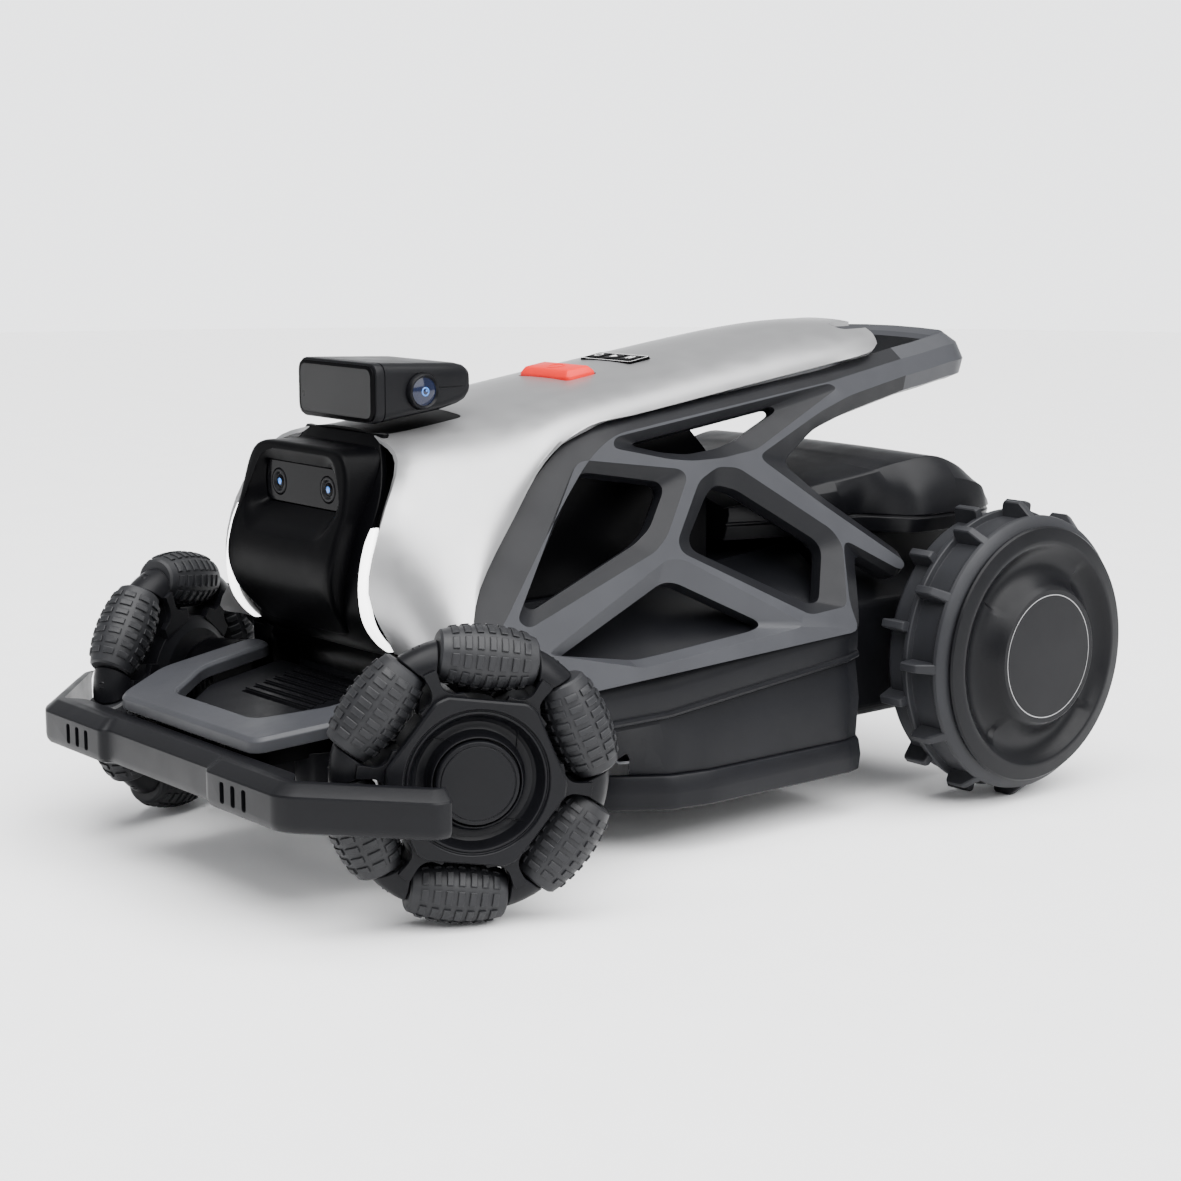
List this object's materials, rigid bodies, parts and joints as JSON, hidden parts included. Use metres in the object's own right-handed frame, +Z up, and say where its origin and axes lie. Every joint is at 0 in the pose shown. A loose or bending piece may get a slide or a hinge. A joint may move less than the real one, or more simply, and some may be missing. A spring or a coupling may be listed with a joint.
{
  "type": "four-wheel robotic lawn mower",
  "caption": "Robotic mower chassis with toed-in omni front wheels, lugged drive wheels, skeleton side frames, a silver top cover and a height-adjustable cutting unit.",
  "frame": {"origin": "middle of the machine's bounding box, on the ground", "axes": "+Z up; the nose looks along -Y and the handle is at +Y; +X is the machine's own left side"},
  "size_m": [0.4724, 0.744, 0.3579],
  "materials": {
    "graphite_plastic": "satin moulded",
    "charcoal_plastic": "satin moulded",
    "black_plastic": "dark satin",
    "silver_plastic": "silver satin paint",
    "lens_glass": "polished, dark",
    "window_grey": "smooth",
    "light_cover": "milky diffuser",
    "stop_red": "smooth",
    "motor_black": "satin",
    "motor_steel": "brushed",
    "disc_steel": "satin",
    "battery_case": "matte",
    "circuit_board": "lacquered",
    "tread_rubber": "moulded rubber"
  },
  "bodies": {
    "chassis": {"deck_rim": "charcoal_plastic", "deck_housing": "graphite_plastic", "deck_upper": "graphite_plastic", "body_tub": "black_plastic", "drive_housing": "charcoal_plastic", "rear_hood": "charcoal_plastic", "side_frame_left": "graphite_plastic", "side_frame_right": "graphite_plastic", "rear_handle": "graphite_plastic", "top_cover": "silver_plastic", "camera_pad": "black_plastic", "keypad_panel": "black_plastic", "nose_shell": "black_plastic", "sensor_bezel": "charcoal_plastic", "stereo_window": "lens_glass", "stereo_lens_left": "lens_glass", "stereo_lens_right": "lens_glass", "light_strip_left": "light_cover", "light_strip_right": "light_cover", "pod_housing": "charcoal_plastic", "pod_window": "window_grey", "pod_lens_left": "lens_glass", "pod_lens_right": "lens_glass", "front_hoop": "graphite_plastic", "vent_floor": "charcoal_plastic", "front_motor_left": "motor_black", "front_motor_right": "motor_black", "gear_motor_left": "motor_steel", "gear_motor_right": "motor_steel", "battery_pack": "battery_case", "control_board": "circuit_board"},
    "bumper_bar": {"bumper_bar": "charcoal_plastic"},
    "stop_button": {"stop_button": "stop_red"},
    "key_1": {"key_1": "black_plastic"},
    "key_2": {"key_2": "black_plastic"},
    "key_3": {"key_3": "black_plastic"},
    "cutter_lift": {"lift_carriage": "charcoal_plastic", "blade_motor": "motor_steel"},
    "cutting_disc": {"cutting_disc": "disc_steel"},
    "blade_1": {"blade_1": "motor_steel"},
    "blade_2": {"blade_2": "motor_steel"},
    "blade_3": {"blade_3": "motor_steel"},
    "front_wheel_left": {"front_hub_left": "charcoal_plastic"},
    "front_wheel_right": {"front_hub_right": "charcoal_plastic"},
    "roller_left_1": {"roller_left_1": "tread_rubber"},
    "roller_left_2": {"roller_left_2": "tread_rubber"},
    "roller_left_3": {"roller_left_3": "tread_rubber"},
    "roller_left_4": {"roller_left_4": "tread_rubber"},
    "roller_left_5": {"roller_left_5": "tread_rubber"},
    "roller_left_6": {"roller_left_6": "tread_rubber"},
    "roller_right_1": {"roller_right_1": "tread_rubber"},
    "roller_right_2": {"roller_right_2": "tread_rubber"},
    "roller_right_3": {"roller_right_3": "tread_rubber"},
    "roller_right_4": {"roller_right_4": "tread_rubber"},
    "roller_right_5": {"roller_right_5": "tread_rubber"},
    "roller_right_6": {"roller_right_6": "tread_rubber"},
    "rear_wheel_left": {"rear_tyre_left": "tread_rubber", "rear_wheel_left": "charcoal_plastic"},
    "rear_wheel_right": {"rear_tyre_right": "tread_rubber", "rear_wheel_right": "charcoal_plastic"}
  },
  "joints": [
    {"name": "bumper_press", "type": "slide", "parent": "chassis", "child": "bumper_bar", "axis": [0, 1, 0], "range_m": [0, 0.005], "stiffness_N_per_m": 1500, "springref_m": -0.004},
    {"name": "stop_press", "type": "slide", "parent": "chassis", "child": "stop_button", "axis": [0, 0.1435, -0.9897], "range_m": [0, 0.004], "stiffness_N_per_m": 800, "springref_m": -0.003},
    {"name": "key_1_press", "type": "slide", "parent": "chassis", "child": "key_1", "axis": [0, 0.1609, -0.987], "range_m": [0, 0.0008], "stiffness_N_per_m": 900, "springref_m": -0.001},
    {"name": "key_2_press", "type": "slide", "parent": "chassis", "child": "key_2", "axis": [0, 0.1609, -0.987], "range_m": [0, 0.0008], "stiffness_N_per_m": 900, "springref_m": -0.001},
    {"name": "key_3_press", "type": "slide", "parent": "chassis", "child": "key_3", "axis": [0, 0.1609, -0.987], "range_m": [0, 0.0008], "stiffness_N_per_m": 900, "springref_m": -0.001},
    {"name": "cutting_height", "type": "slide", "parent": "chassis", "child": "cutter_lift", "axis": [0, 0, 1], "range_m": [0, 0.028]},
    {"name": "disc_spin", "type": "hinge", "parent": "cutter_lift", "child": "cutting_disc", "pos_m": [0, 0.013, 0.058], "axis": [0, 0, 1], "continuous": true},
    {"name": "blade_1_swing", "type": "hinge", "parent": "cutting_disc", "child": "blade_1", "pos_m": [0, 0.095, 0.0546], "axis": [0, 0, 1], "range_deg": [-90, 90]},
    {"name": "blade_2_swing", "type": "hinge", "parent": "cutting_disc", "child": "blade_2", "pos_m": [-0.07101, -0.028, 0.0546], "axis": [0, 0, 1], "range_deg": [-90, 90]},
    {"name": "blade_3_swing", "type": "hinge", "parent": "cutting_disc", "child": "blade_3", "pos_m": [0.07101, -0.028, 0.0546], "axis": [0, 0, 1], "range_deg": [-90, 90]},
    {"name": "front_wheel_left_spin", "type": "hinge", "parent": "chassis", "child": "front_wheel_left", "pos_m": [0.1847, -0.249, 0.097], "axis": [0.9063, -0.4226, 0], "continuous": true},
    {"name": "roller_left_1_spin", "type": "hinge", "parent": "front_wheel_left", "child": "roller_left_1", "pos_m": [0.18911, -0.23954, 0.17127], "axis": [0.4185, 0.8975, -0.1392], "continuous": true},
    {"name": "roller_left_2_spin", "type": "hinge", "parent": "front_wheel_left", "child": "roller_left_2", "pos_m": [0.21409, -0.18598, 0.1251], "axis": [0.1583, 0.3395, -0.9272], "continuous": true},
    {"name": "roller_left_3_spin", "type": "hinge", "parent": "front_wheel_left", "child": "roller_left_3", "pos_m": [0.20968, -0.19544, 0.05083], "axis": [-0.2602, -0.558, -0.788], "continuous": true},
    {"name": "roller_left_4_spin", "type": "hinge", "parent": "front_wheel_left", "child": "roller_left_4", "pos_m": [0.18029, -0.25846, 0.02273], "axis": [-0.4185, -0.8975, 0.1392], "continuous": true},
    {"name": "roller_left_5_spin", "type": "hinge", "parent": "front_wheel_left", "child": "roller_left_5", "pos_m": [0.15531, -0.31202, 0.0689], "axis": [-0.1583, -0.3395, 0.9272], "continuous": true},
    {"name": "roller_left_6_spin", "type": "hinge", "parent": "front_wheel_left", "child": "roller_left_6", "pos_m": [0.15972, -0.30256, 0.14317], "axis": [0.2602, 0.558, 0.788], "continuous": true},
    {"name": "front_wheel_right_spin", "type": "hinge", "parent": "chassis", "child": "front_wheel_right", "pos_m": [-0.1847, -0.249, 0.097], "axis": [-0.9063, -0.4226, 0], "continuous": true},
    {"name": "roller_right_1_spin", "type": "hinge", "parent": "front_wheel_right", "child": "roller_right_1", "pos_m": [-0.18911, -0.23954, 0.17127], "axis": [-0.4185, 0.8975, -0.1392], "continuous": true},
    {"name": "roller_right_2_spin", "type": "hinge", "parent": "front_wheel_right", "child": "roller_right_2", "pos_m": [-0.21409, -0.18598, 0.1251], "axis": [-0.1583, 0.3395, -0.9272], "continuous": true},
    {"name": "roller_right_3_spin", "type": "hinge", "parent": "front_wheel_right", "child": "roller_right_3", "pos_m": [-0.20968, -0.19544, 0.05083], "axis": [0.2602, -0.558, -0.788], "continuous": true},
    {"name": "roller_right_4_spin", "type": "hinge", "parent": "front_wheel_right", "child": "roller_right_4", "pos_m": [-0.18029, -0.25846, 0.02273], "axis": [0.4185, -0.8975, 0.1392], "continuous": true},
    {"name": "roller_right_5_spin", "type": "hinge", "parent": "front_wheel_right", "child": "roller_right_5", "pos_m": [-0.15531, -0.31202, 0.0689], "axis": [0.1583, -0.3395, 0.9272], "continuous": true},
    {"name": "roller_right_6_spin", "type": "hinge", "parent": "front_wheel_right", "child": "roller_right_6", "pos_m": [-0.15972, -0.30256, 0.14317], "axis": [-0.2602, 0.558, 0.788], "continuous": true},
    {"name": "rear_wheel_left_spin", "type": "hinge", "parent": "chassis", "child": "rear_wheel_left", "pos_m": [0.18, 0.259, 0.113], "axis": [1, 0, 0], "continuous": true},
    {"name": "rear_wheel_right_spin", "type": "hinge", "parent": "chassis", "child": "rear_wheel_right", "pos_m": [-0.18, 0.259, 0.113], "axis": [-1, 0, 0], "continuous": true}
  ]
}
